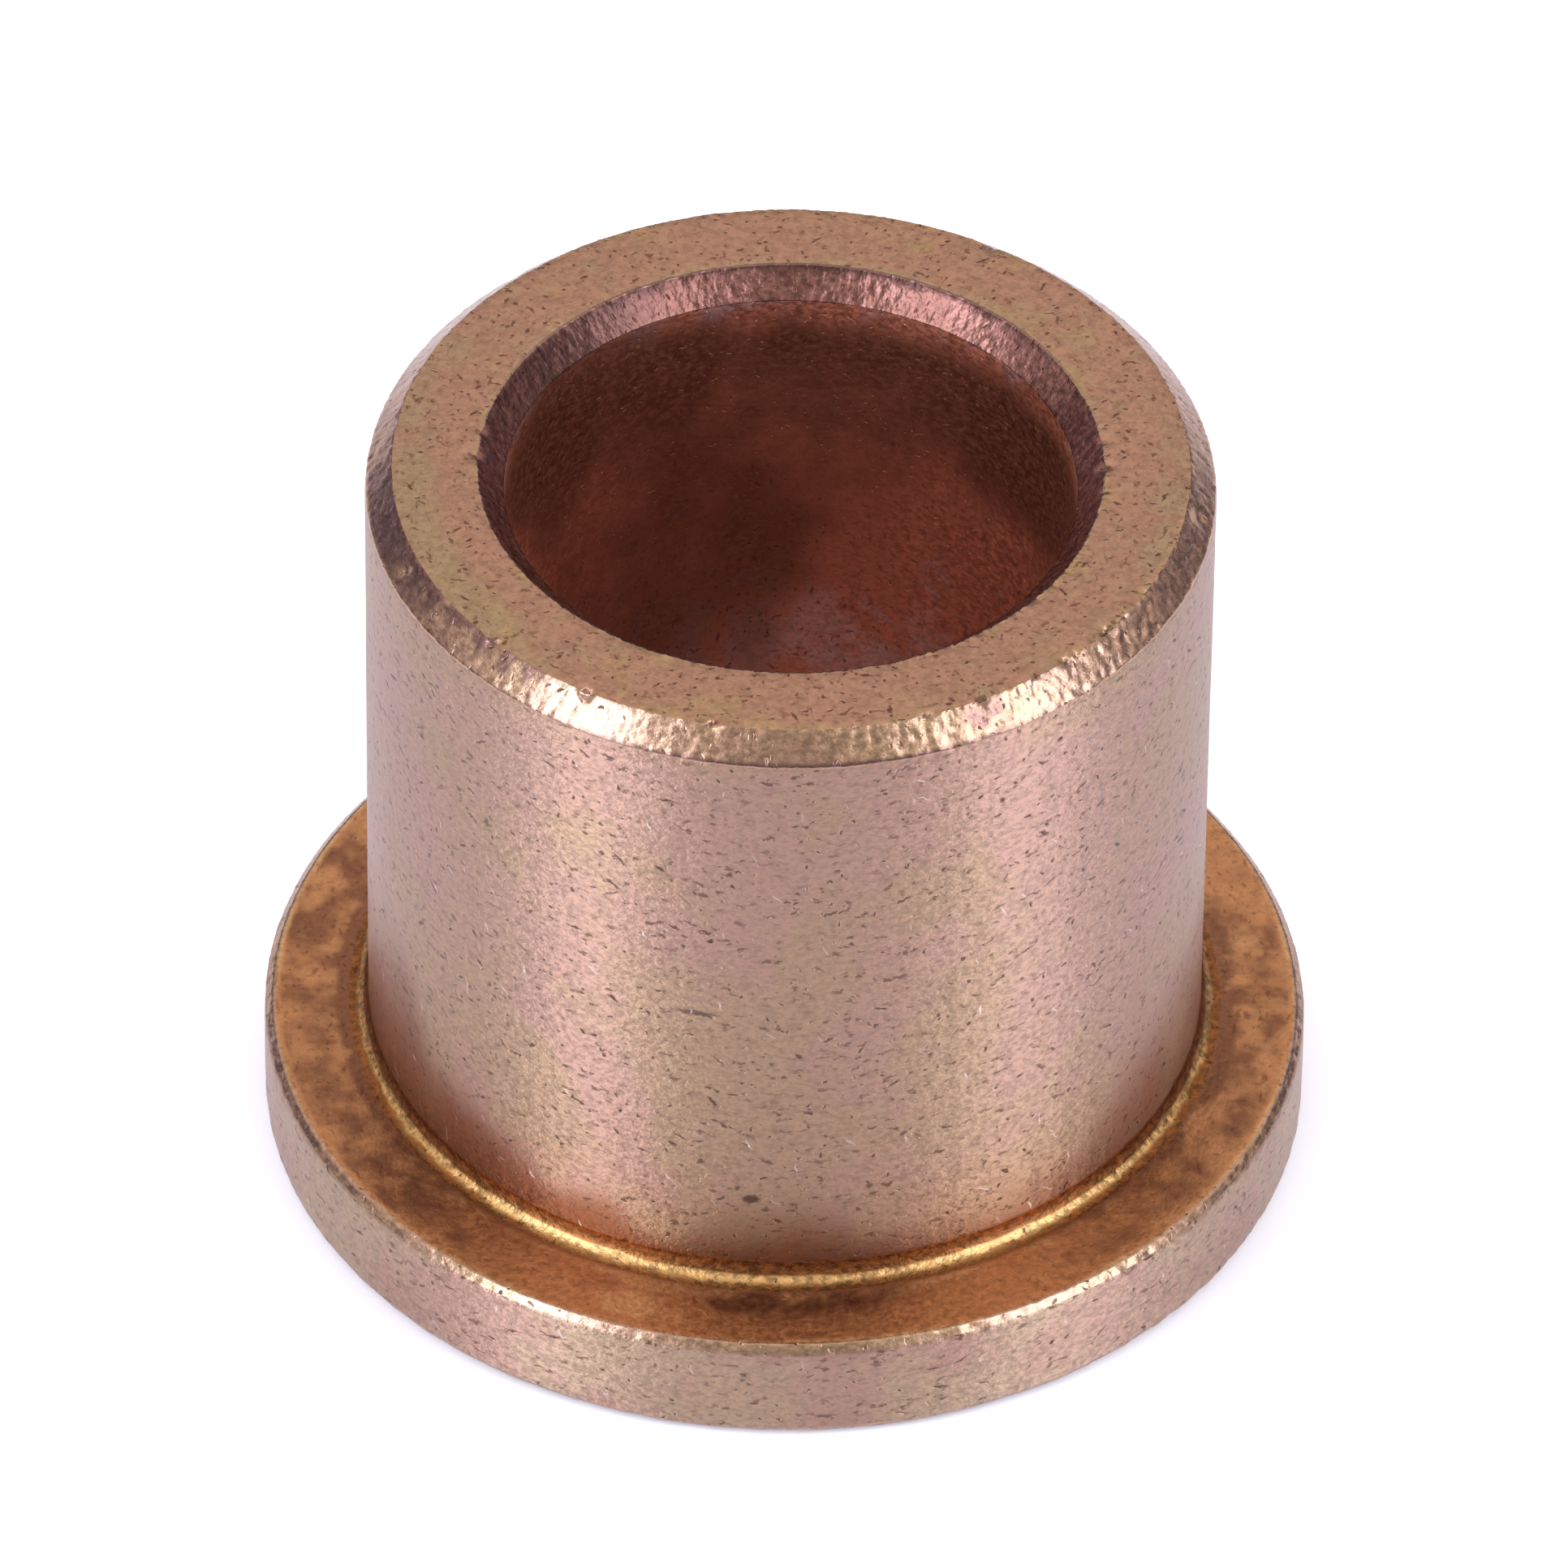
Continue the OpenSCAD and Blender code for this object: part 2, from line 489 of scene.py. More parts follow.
def nose_painted_shade(turn, height, noise):
    """Painted shade on the nose chamfer, with more on its upper half on both sides of the front.
    """
    brow = np.clip((height - BROW_HEIGHT) / BROW_DEPTH + BROW_SPECKLE * noise, 0, 1)
    nose = lobes(turn, NOSE_PAINTED_SHADE) + NOSE_SPECKLE * noise
    return nose + brow * lobes(turn, BROW_PAINTED_SHADE)


def mouth_stain(turn, depth, noise):
    """Soot on the chamfer at the mouth, on the left and along the outer border at the back."""
    border = np.clip((BORDER_DEPTH - depth) / BORDER_FADE, 0, 1) * lobe(turn, *BORDER_SIDE)
    return lobes(turn, MOUTH_STAINS) + (BORDER_COVER + BORDER_SPECKLE * noise) * border


def bore_stain_and_shade(turn, depth, broad):
    """Painted shade on the bore's wall. It falls off with the depth under the top, apart from
    patches.
    """
    cover = BORE_COVER + BORE_SWING * broad + BORE_TOP * np.exp(-(depth / BORE_FADE) ** 2)
    return cover + patches(turn, depth, BORE_STAINS)


def stains_and_shade(shape, angles, section, runs, along):
    """How far baked oil and painted shade cover each point of the grid, from 0 to 1.

    Each zone of the section has its own rule, and smooth noise breaks it all up."""
    turn = np.degrees(angles)[:, None]
    radius, height = section[None, :, 0] / MM, section[None, :, 1] / MM
    over = height - shape.flange_thickness / MM
    out = radius - shape.barrel_radius / MM
    depth = shape.length / MM - height
    noise = sum(share * wave_noise(angles, along, size * MM, 1.0, seed)
                for share, size, seed in FINE_NOISE)
    size, stretch, seed = BROAD_NOISE
    broad = wave_noise(angles, along, size * MM, stretch, seed)
    zone = zones_of(runs)
    below_nose = (runs == NOSE - ARC) & (np.roll(runs, 1) == NOSE - ARC)
    # Painted shade: the foot, the root, the bore, the nose, the arc under the nose and the mouth's
    # edge.
    rules = (
        ((zone == SIZED_WALL) & (over[0] > 0), foot_painted_shade(turn, over, broad)),
        (zone == MOUTH, mouth_stain(turn, depth, noise)),
        (zone == ROOT, ring_painted_shade(turn, over, noise)),
        (zone == FLANGE_FACE, flange_stain(turn, out, noise)),
        (zone == PRESSED_FACE, top_stain(turn, radius, noise)),
        (zone == BORE_WALL, bore_stain_and_shade(turn, depth, broad)),
        (np.isin(runs, (NOSE, TOP - ARC)), nose_painted_shade(turn, height, noise)),
        # A painted dark line under the nose at the front.
        (below_nose, lobes(turn, UNDER_NOSE)),
        # The mouth's edge is painted dark at the back, which leaves a bright line at the front.
        (runs == UPPER_MOUTH - ARC, lobes(turn, MOUTH_EDGE)),
    )
    value = np.zeros((len(angles), len(section)))
    for rows, stain in rules:
        value = np.where(rows[None, :], stain, value)
    return np.clip(value, 0, 1)


# Patches of each run's second bronze, among them painted highlights and a painted reflection. On
# the flat runs their middle is a radius.
FLAT_RUNS = (SHOULDER, TOP)
TINTS_AND_HIGHLIGHTS = {
    # On the rim, painted highlights at -120 and -60, where the lamps shine, and less between them.
    RIM: ((-90, 24, 1.3, 9.0, -0.6), (-120, 12, 1.3, 9.0, 0.6), (-60, 14, 1.3, 9.0, 0.5)),
    SHOULDER: (
        (0, 720, 11.0, 90.0, -1.5), (-92, 50, 10.05, 0.32, 3.2), (-108, 12, 11.1, 0.6, 2.6)),
    BARREL: (
        (-98, 34, 16.6, 2.6, 0.8), (-160, 16, 11.0, 6.0, 0.5), (-88, 16, 7.5, 3.2, -0.7),
        # The last row, at -122, is a painted highlight that makes the left highlight band pinker.
        (-46, 20, 15.0, 4.0, 0.6), (-45, 20, 8.0, 4.0, 0.4), (-122, 8, 12.0, 4.5, 0.5)),
    TOP: ((0, 720, 8.0, 9.0, -0.9), (-158, 30, 8.6, 0.5, 1.6), (-100, 14, 8.7, 0.4, 0.8)),
    UPPER_MOUTH: ((135, 22, 18.3, 9.0, -0.8), (-8, 34, 18.3, 9.0, 1.0)),
    # In the bore, the patch at the back is a painted reflection of the floor.
    BORE: ((0, 720, 9.0, 90.0, -1.6), (93, 58, 6.9, 3.3, 2.3)),
}
MOST_TINT_AND_HIGHLIGHT = 2


def tints_and_highlights(angles, section, runs):
    """How far each point of the grid leans to its zone's second bronze, from -2 to 2, painted
    highlights and reflection included.
    """
    turn = np.degrees(angles)[:, None]
    flat = np.isin(runs, FLAT_RUNS)
    place = np.where(flat, section[:, 0], section[:, 1])[None, :] / MM
    value = np.zeros((len(angles), len(section)))
    for run, table in TINTS_AND_HIGHLIGHTS.items():
        value = np.where((runs == run)[None, :], patches(turn, place, table), value)
    return np.clip(value, -MOST_TINT_AND_HIGHLIGHT, MOST_TINT_AND_HIGHLIGHT)


def zones_of(runs):
    """The material slot of each run or arc in a list."""
    return np.array([ZONE_OF_RUN.get(run, EDGE_ZONE) for run in runs], np.int32)


def quad_zones(runs):
    """The material slot of each row of quads. A quad between an arc and a straight run is the
    run's."""
    after = np.roll(runs, -1)
    return zones_of(np.where((runs % 1 != 0) & (after != runs), after, runs))


def ring_mesh(name, grid, section, values):
    """A mesh from a grid that closes on itself both ways: quad (i, j) joins columns i and i + 1
    with rows j and j + 1, each counted round. Its UV map runs from 0 to 1 round the axis and
    from 0 to 1 along the section's length, and its attributes hold the values at each point."""
    columns, rows = grid.shape[:2]
    index = np.arange(columns * rows).reshape(columns, rows)
    right = np.roll(index, -1, 0)
    quads = np.stack([index, right, np.roll(right, -1, 1), np.roll(index, -1, 1)], 2)
    quads = quads.reshape(-1, 4)
    mesh = bpy.data.meshes.new(name)
    mesh.from_pydata(grid.reshape(-1, 3), [], quads)
    mesh.polygons.foreach_set("use_smooth", np.ones(len(quads), bool))
    around = np.arange(columns + 1) / columns
    run, length = section_run(section)
    along = np.append(run, length) / length
    corners = np.empty((columns, rows, 4, 2))
    corners[:, :, (0, 3), 0] = around[:-1, None, None]
    corners[:, :, (1, 2), 0] = around[1:, None, None]
    corners[:, :, (0, 1), 1] = along[None, :-1, None]
    corners[:, :, (2, 3), 1] = along[None, 1:, None]
    layer = mesh.uv_layers.new(name="surface")
    layer.data.foreach_set("uv", corners.astype(np.float32).ravel())
    for layer_name, value in values.items():
        mesh.attributes.new(layer_name, "FLOAT", "POINT").data.foreach_set(
            "value", value.astype(np.float32).ravel())
    mesh.update()
    return mesh


class Graph:
    """Puts nodes in a material or a world and joins them."""

    def __init__(self, owner):
        self.nodes, self.links = owner.node_tree.nodes, owner.node_tree.links

    def fill(self, socket, value):
        """Sets a socket to a number or colour, or joins it to another socket."""
        if isinstance(value, bpy.types.NodeSocket):
            self.links.new(value, socket)
        else:
            socket.default_value = value

    def put(self, kind, settings=None, **inputs):
        """A node with its settings, and its inputs by name or by number, as in n0."""
        node = self.nodes.new("ShaderNode" + kind)
        for name, value in (settings or {}).items():
            setattr(node, name, value)
        for name, value in inputs.items():
            numbered = name[0] == "n" and name[1:].isdigit()
            key = int(name[1:]) if numbered else name.replace("_", " ")
            self.fill(node.inputs[key], value)
        return node

    def math(self, operation, a, b=0.0, clamp=False):
        """One sum of two numbers."""
        settings = {"operation": operation, "use_clamp": clamp}
        return self.put("Math", settings, n0=a, n1=b).outputs[0]

    def vector(self, operation, a, b=(0, 0, 0)):
        """One sum of two vectors."""
        return self.put("VectorMath", {"operation": operation}, n0=a, n1=b).outputs[0]

    def ramp(self, value, low, high, start=0.0, end=1.0):
        """Smooth step of a value from low to high, given as start to end."""
        settings = {"interpolation_type": "SMOOTHSTEP"}
        return self.put(
            "MapRange", settings, n0=value, n1=low, n2=high, n3=start, n4=end).outputs[0]

    def blend(self, share, a, b, mode="MIX"):
        """A colour between a and b."""
        node = self.put("Mix", {"data_type": "RGBA", "blend_type": mode})
        for key, value in (("Factor_Float", share), ("A_Color", a), ("B_Color", b)):
            socket = next(item for item in node.inputs if item.identifier == key)
            if not isinstance(value, bpy.types.NodeSocket) and key != "Factor_Float":
                value = (*value, 1)
            self.fill(socket, value)
        return next(item for item in node.outputs if item.identifier == "Result_Color")

    def noise(self, place, scale, detail, roughness):
        """Smooth noise of 0 to 1, most of it near the middle."""
        return self.put(
            "TexNoise", None, Vector=place, Scale=scale, Detail=detail,
            Roughness=roughness).outputs["Fac"]

    def turn(self, offset, angle):
        """A vector turned about Z."""
        return self.put(
            "VectorRotate", {"rotation_type": "Z_AXIS"}, Vector=offset, Angle=angle).outputs[0]

    def length(self, offset):
        """The length of a vector."""
        return self.put("VectorMath", {"operation": "LENGTH"}, n0=offset).outputs["Value"]


# Where strokes fade out, in half sizes.
DASH_ENDS, STROKE_ENDS = (0.3, 1.3), (0.5, 1.1)


def dashes(graph, place, cells, length, width, tilt, spread, keep, shift):
    """Short dark strokes, one in each cell of a pattern of random points.

    The offset from the cell's point is turned by the cell's own angle and divided by the
    stroke's half length and half width. A stroke is where the result is shorter than one, with
    soft ends, and its strength is the cube of a smooth step of the cell's own number."""
    moved = graph.vector("ADD", place, (shift, shift / 3, 0))
    cell = graph.put("TexVoronoi", {"voronoi_dimensions": "2D"}, Vector=moved, Scale=cells)
    share = graph.put("SeparateColor", None, Color=cell.outputs["Color"])
    offset = graph.vector("SUBTRACT", moved, cell.outputs["Position"])
    angle = graph.math("ADD", graph.math("MULTIPLY", share.outputs[0], spread), tilt - spread / 2)
    part = graph.put("SeparateXYZ", None, Vector=graph.turn(offset, angle))
    size = graph.math("ADD", graph.math("MULTIPLY", share.outputs[1], length), length / 3)
    x = graph.math("DIVIDE", part.outputs[0], size)
    y = graph.math("DIVIDE", part.outputs[1], width)
    square = graph.math("ADD", graph.math("MULTIPLY", x, x), graph.math("MULTIPLY", y, y))
    strength = graph.math("POWER", graph.ramp(share.outputs[2], 0.0, keep, 1.0, 0.0), 3.0)
    body = graph.ramp(graph.math("SQRT", square), *DASH_ENDS, 1.0, 0.0)
    return graph.math("MULTIPLY", body, strength)


def stroke(graph, place, u, v, length, width, tilt, strength):
    """One dark stroke at a point of the surface, by the rule of the strokes in dashes."""
    offset = graph.vector("SUBTRACT", place, (u, v, 0))
    turned = graph.turn(offset, math.radians(tilt))
    scaled = graph.vector("MULTIPLY", turned, (1 / length, 1 / width, 0))
    return graph.ramp(graph.length(scaled), *STROKE_ENDS, strength, 0.0)


# What all finishes share. A noise has a scale, a detail and a roughness, but the patches take
# their scale from the look. They and the grain are scaled per metre, all else per millimetre.
# A step has its start and end.
SHAKE_SCALE, SHAKE_REACH = 9.0, 0.07
PATCH_NOISE, PATCH_STEP = (3.0, 0.6), (0.40, 0.62)
TINT_AND_HIGHLIGHT_WEIGHT = 0.16
GRAIN_SQUASH, GRAIN_NOISE = (1, 1, 1.5), (5500.0, 2.0, 0.65)
STAIN_AND_SHADE_STEP, MOTTLE_STEP = (0.1, 0.9), (0.30, 0.70)
CLUMP_NOISE, CLUMP_STEP, LEAST_CLUMP = (0.9, 1.0, 0.5), (0.40, 0.62), 0.35
SPECK_STRETCH, SPECK_NOISE, SPECK_STEP = (0.6, 1, 1), (5.5, 2.0, 0.6), (0.57, 0.68)
SMUDGE_NOISE, SMUDGE_STEP = (1.7, 3.0, 0.75), (0.56, 0.76)
GLOSS_STEP, GLOSS_LESS, GLOSS_MORE = (0.25, 0.75), 0.06, 0.08
FOLD_NOISE = (3.2, 2.0, 0.6)
PORE_ROUGHNESS, OIL_ROUGHNESS, BRUSHED_ROUND = 0.2, 0.38, 0.25


def flat_map(graph, extent):
    """The UV map in millimetres, and the same shaken a little, which roughens what lies on it."""
    layer = graph.put("UVMap", {"uv_map": "surface"}).outputs[0]
    flat = graph.put(
        "Mapping", {"vector_type": "POINT"}, Vector=layer, Scale=(*extent, 1)).outputs[0]
    jitter = graph.put(
        "TexNoise", {"noise_dimensions": "2D"}, Vector=flat, Scale=SHAKE_SCALE, Detail=0.0)
    shake = graph.vector("SUBTRACT", jitter.outputs["Color"], (0.5, 0.5, 0.5))
    shake = graph.vector("MULTIPLY", shake, (SHAKE_REACH, SHAKE_REACH, 0))
    return flat, graph.vector("ADD", flat, shake)


def stained_and_shaded_bronze(graph, look, solid, grain):
    """Two bronzes in patches, leaning by an attribute that also holds painted highlights, then oil
    and painted shade by the mesh's attribute for them with a ragged edge, and the grain's mottle
    over both."""
    patch = graph.noise(solid, look["patch_scale"], *PATCH_NOISE)
    tint = graph.put("Attribute", {"attribute_name": "tint"}).outputs["Fac"]
    lean = graph.math("ADD", patch, graph.math("MULTIPLY", tint, TINT_AND_HIGHLIGHT_WEIGHT))
    metal = graph.blend(graph.ramp(lean, *PATCH_STEP), look["base"], look["patch"])
    cover = graph.put("Attribute", {"attribute_name": "stain"}).outputs["Fac"]
    torn = graph.math("MULTIPLY", graph.math("SUBTRACT", patch, 0.5), look["ragged"])
    cover = graph.math("ADD", graph.math("ADD", cover, torn), graph.math("SUBTRACT", grain, 0.5))
    cover = graph.math("MULTIPLY", graph.ramp(cover, *STAIN_AND_SHADE_STEP), look["stain_share"])
    metal = graph.blend(cover, metal, look["stain"])
    shade = graph.ramp(grain, *MOTTLE_STEP, 1 - look["mottle"], 1 + look["mottle"])
    level = graph.put("CombineColor", None, n0=shade, n1=shade, n2=shade)
    return graph.blend(1.0, metal, level.outputs[0], "MULTIPLY")


def open_pores(graph, look, flat, shaken, marks):
    """How far strokes, marks and specks darken each point, and the part of it that is sunk."""
    sunk = 0.0
    for settings in look["strokes"]:
        sunk = graph.math("MAXIMUM", sunk, dashes(graph, shaken, *settings))
    pores = sunk
    for mark in marks:
        pores = graph.math("MAXIMUM", pores, stroke(graph, shaken, *mark))
    clumps = graph.ramp(graph.noise(flat, *CLUMP_NOISE), *CLUMP_STEP, LEAST_CLUMP, 1.0)
    specks = graph.noise(graph.vector("MULTIPLY", flat, SPECK_STRETCH), *SPECK_NOISE)
    specks = graph.math("MULTIPLY", graph.ramp(specks, *SPECK_STEP), clumps)
    specks = graph.math("MULTIPLY", specks, look["specks"])
    return graph.math("MAXIMUM", pores, specks), sunk


def bronze_material(name, look, colours, extent, marks):
    """Sintered bronze with open pores.

    The stained and shaded bronze is darkened by pores and smudges and crossed by scratch marks in
    a bright colour, which are painted glints. The strokes are also sunk by bump, and fine grain
    roughens the gloss."""
    material = bpy.data.materials.new(name)
    material.use_nodes = True
    graph = Graph(material)
    shader = graph.nodes["Principled BSDF"]
    flat, shaken = flat_map(graph, extent)
    solid = graph.put("TexCoord").outputs["Object"]
    grain = graph.noise(graph.vector("MULTIPLY", solid, GRAIN_SQUASH), *GRAIN_NOISE)
    pores, sunk = open_pores(graph, look, flat, shaken, marks)
    smudge = graph.ramp(graph.noise(flat, *SMUDGE_NOISE), *SMUDGE_STEP, 0.0, look["smudge"])
    dark = graph.math("MAXIMUM", graph.math("MULTIPLY", pores, look["pore_share"]), smudge)
    metal = graph.blend(dark, stained_and_shaded_bronze(graph, look, solid, grain), colours.pore)
    # Painted glints: the scratches take a bright colour.
    if look["scratches"]:
        metal = graph.blend(dashes(graph, shaken, *look["scratches"]), metal, colours.glint)
    graph.fill(shader.inputs["Base Color"], metal)
    roughness = look["roughness"]
    gloss = graph.ramp(grain, *GLOSS_STEP, roughness - GLOSS_LESS, roughness + GLOSS_MORE)
    gloss = graph.math("ADD", gloss, graph.math("MULTIPLY", pores, PORE_ROUGHNESS), True)
    graph.fill(shader.inputs["Roughness"], gloss)
    height = graph.math("MULTIPLY", grain, look["grain"])
    if look["fold"]:
        crumple = graph.noise(graph.vector("MULTIPLY", flat, look["fold_stretch"]), *FOLD_NOISE)
        height = graph.math("ADD", height, graph.math("MULTIPLY", crumple, look["fold"]))
    height = graph.math("SUBTRACT", height, graph.math("MULTIPLY", sunk, look["sink"]))
    bump = graph.put("Bump", None, Strength=1.0, Distance=MM, Height=height)
    graph.fill(shader.inputs["Normal"], bump.outputs[0])
    shader.inputs["Metallic"].default_value = 1
    shader.inputs["Coat Weight"].default_value = look["oil"]
    shader.inputs["Coat Roughness"].default_value = OIL_ROUGHNESS
    if look["anisotropic"]:
        shader.inputs["Anisotropic"].default_value = look["anisotropic"]
        shader.inputs["Anisotropic Rotation"].default_value = BRUSHED_ROUND
        tangent = graph.put("Tangent", {"direction_type": "RADIAL", "axis": "Z"})
        graph.fill(shader.inputs["Tangent"], tangent.outputs[0])
    return material


# Layers of strokes: cells per millimetre, half length, half width, tilt, spread of the tilt,
# share of the cells that hold one, and shift of the pattern.
QUARTER_TURN = math.pi / 2
WALL_STROKES = (
    (1.3, 0.17, 0.040, 0.0, 1.6, 0.9, 0.0),
    (2.6, 0.07, 0.034, 0.0, 3.1, 0.9, 13.1),
)
# The walls' scratches carry painted glints.
WALL_GLINT_SCRATCHES = (1.2, 0.16, 0.024, 1.0, 1.2, 0.55, 41.3)
FACE_STROKES = (
    (1.8, 0.15, 0.042, 0.0, 3.1, 0.9, 3.7),
    (3.2, 0.065, 0.040, 0.0, 3.1, 0.9, 17.9),
)
EDGE_STROKES = (
    (3.6, 0.07, 0.030, QUARTER_TURN, 2.0, 0.8, 5.1),
)


def looks(colours):
    """What each zone of the surface looks like, in the order of the material slots."""
    common = {
        "base": colours.tan, "patch": colours.pink, "patch_scale": 320.0,
        "stain": colours.rust, "stain_share": 0.92, "ragged": 0.8, "mottle": 0.22,
        "strokes": WALL_STROKES, "pore_share": 0.9, "roughness": 0.46,
        "fold": 0, "fold_stretch": (1, 0.4, 1), "grain": 0.026,
        "sink": 0.040, "anisotropic": 0.92, "oil": 0.65, "smudge": 0.35, "specks": 0.75,
        "scratches": WALL_GLINT_SCRATCHES}
    face = {
        **common, "strokes": FACE_STROKES, "scratches": None, "anisotropic": 0, "oil": 0.1,
        "grain": 0.012, "sink": 0.02, "smudge": 0.4}
    edge = {
        **common, "base": colours.edge, "patch": colours.tan, "strokes": EDGE_STROKES,
        "stain": colours.dusk, "roughness": 0.25, "fold": 0.008, "anisotropic": 0, "oil": 0.3,
        "grain": 0.010, "sink": 0.014, "smudge": 0.2, "specks": 0.3, "scratches": None}
    return {
        # The sized wall's foot takes painted shade.
        "sized_wall": {**common, "stain": colours.amber},
        # The rim's paler bronze is painted light.
        "rim_wall": {**common, "base": colours.rim},
        "pressed_face": {
            **face, "base": colours.face, "patch": colours.gilt, "patch_scale": 700.0,
            "stain": colours.olive, "stain_share": 0.8, "mottle": 0.16, "roughness": 0.42,
            "pore_share": 0.8},
        "flange_face": {
            **face, "base": colours.flange, "patch": colours.honey, "ragged": 0.35,
            "stain_share": 0.85, "pore_share": 0.35, "mottle": 0.2, "roughness": 0.40,
            "sink": 0.004},
        # The root's darker colour is painted shade beside the golden ring.
        "root": {
            **face, "base": colours.gold, "patch": colours.gold, "strokes": EDGE_STROKES,
            "stain": colours.ember, "mottle": 0.4, "roughness": 0.36, "stain_share": 1.0,
            "sink": 0.006, "grain": 0.022},
        "edge": edge,
        "mouth": {
            **edge, "base": colours.mouth, "patch": colours.blush, "stain": colours.soot,
            "roughness": 0.30, "mottle": 0.3, "fold": 0.030, "fold_stretch": (0.9, 0.9, 1),
            "oil": 0.15},
        "bore_wall": {
            **face, "base": colours.bore, "patch": colours.mauve, "patch_scale": 800.0,
            "pore_share": 0.5, "stain_share": 0.8, "mottle": 0.24, "roughness": 0.52},
    }


# Marks of the barrel: angle, height, half length, half width, tilt and strength.
BARREL_MARKS = (
    (-102.0, 10.5, 0.62, 0.085, 0, 0.75), (-94.2, 5.05, 0.24, 0.15, 0, 1.0),
    (-107.0, 14.6, 0.14, 0.07, 20, 1.0), (-100.0, 12.7, 0.10, 0.05, -20, 1.0),
    (-84.0, 14.6, 0.07, 0.05, 40, 1.0), (-60.0, 16.0, 0.10, 0.07, 60, 1.0),
    (-88.0, 9.4, 0.13, 0.06, 30, 0.8), (-99.6, 7.9, 0.20, 0.06, 55, 0.9),
    (-98.0, 7.2, 0.12, 0.05, 30, 0.8), (-104.0, 6.7, 0.20, 0.045, 25, 0.8),
    (-114.0, 13.5, 0.32, 0.03, -25, 0.7), (-92.0, 6.2, 0.22, 0.06, 25, 0.6),
)


def wall_marks(shape, section, runs):
    """Places the listed marks of the barrel on the flat map, in millimetres.

    Round the axis a mark lies at its angle times the barrel's radius. Along the section it lies
    where the barrel's run reaches its height."""
    along = section_run(section)[0] / MM
    barrel = runs == BARREL
    placed = []
    for angle, height, *stroke_settings in BARREL_MARKS:
        turn = (angle / 360 - SEAM_TURN) % 1
        u = turn * 2 * math.pi * shape.barrel_radius / MM
        v = float(np.interp(height, section[barrel, 1] / MM, along[barrel]))
        placed.append((u, v, *stroke_settings))
    return placed


class OBJECT_OT_bushing_turn(bpy.types.Operator):
    """Turn the bushing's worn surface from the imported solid's section"""

    bl_idname = "object.bushing_turn"
    bl_label = "Turn Bushing"
    bl_options = {"REGISTER", "UNDO"}

    def execute(self, context):
        shape = context.scene.bushing_shape
        section, runs = bushing_section(shape)
        angles = turns_of(shape.columns)
        along, length = section_run(section)
        outward = revolve(section_normals(section), shape.columns)
        grid = revolve(section, shape.columns)
        grid = grid - outward * relief(grid, angles, along, runs)[:, :, None]
        values = {
            "stain": stains_and_shade(shape, angles, section, runs, along),
            "tint": tints_and_highlights(angles, section, runs)}
        mesh = ring_mesh("bushing_surface", grid, section, values)
        piece = bpy.data.objects.new("bushing_surface", mesh)
        context.scene.collection.objects.link(piece)
        extent = (2 * math.pi * shape.barrel_radius / MM, length / MM)
        marks = wall_marks(shape, section, runs)
        colours = context.scene.bushing_finish
        for name, look in looks(colours).items():
            on_wall = marks if name == "sized_wall" else ()
            mesh.materials.append(bronze_material(name, look, colours, extent, on_wall))
        mesh.polygons.foreach_set("material_index", np.tile(quad_zones(runs), shape.columns))
        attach(piece, "root")
        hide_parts("bushing")
        return {"FINISHED"}


# Soft boxes: name, azimuth, width in metres, lean, and the setting of their power.
SOFT_BOXES = (
    ("soft_box_left", -140.5, 0.043, 17, "left_power"),
    ("soft_box_right", -31, 0.055, -8, "right_power"),
)
BOX_DISTANCE, BOX_HEIGHT, BOX_BOTTOM = 0.11, 0.13, 0.010
BOX_COLOUR = (0.68, 0.77, 1.0)
BOX_AIM = Vector((0, 0, 0.02))

# The floor glows a little, less under the flange, in one colour to the camera and in another
# where the metal mirrors it. The shaded ring is given in flange radii.
FLOOR_RADIUS, FLOOR_STEPS = 3.0, 96
GLOW, GLOW_SEEN, GLOW_MIRRORED = 0.3, (1.0, 1.0, 1.0), (0.80, 0.76, 1.0)
SHADED_RING, SHADED_GLOW = (0.85, 1.2), 0.4

# The dome: its colours, the sines of height between which it turns from one to the other, and
# the way, the cosines and the share of its dim patch.
HORIZON, OVERHEAD, DOME_STEP = (0.20, 0.17, 0.25), (1.05, 0.98, 0.98), (0.18, 0.64)
DIM_WAY, DIM_STEP, DIM_SHARE = (0, -0.70, 0.714), (0.90, 0.98), 0.55

# The camera: its aim's height in barrel radii, and the range that it sees.
FRAME_PIXELS = 1932
SENSOR_WIDTH = 36.0
AIM_HEIGHT = 0.9
CAMERA_RANGE = (0.01, 20)


def soft_box(name, azimuth, width, lean, power):
    """A soft box that stands beside the bushing, faces it and leans to one side."""
    turn = math.radians(azimuth)
    data = bpy.data.lights.new(name, "AREA")
    data.shape = "RECTANGLE"
    data.size = width
    data.size_y = BOX_HEIGHT
    data.energy = power
    data.color = BOX_COLOUR
    lamp = bpy.data.objects.new(name, data)
    place = Vector((
        BOX_DISTANCE * math.cos(turn), BOX_DISTANCE * math.sin(turn),
        BOX_HEIGHT / 2 + BOX_BOTTOM))
    lamp.location = place
    lamp.rotation_euler = (BOX_AIM - place).to_track_quat("-Z", "Y").to_euler()
    lamp.rotation_euler.rotate_axis("Z", math.radians(lean))
    lamp.visible_camera = False
    bpy.context.scene.collection.objects.link(lamp)


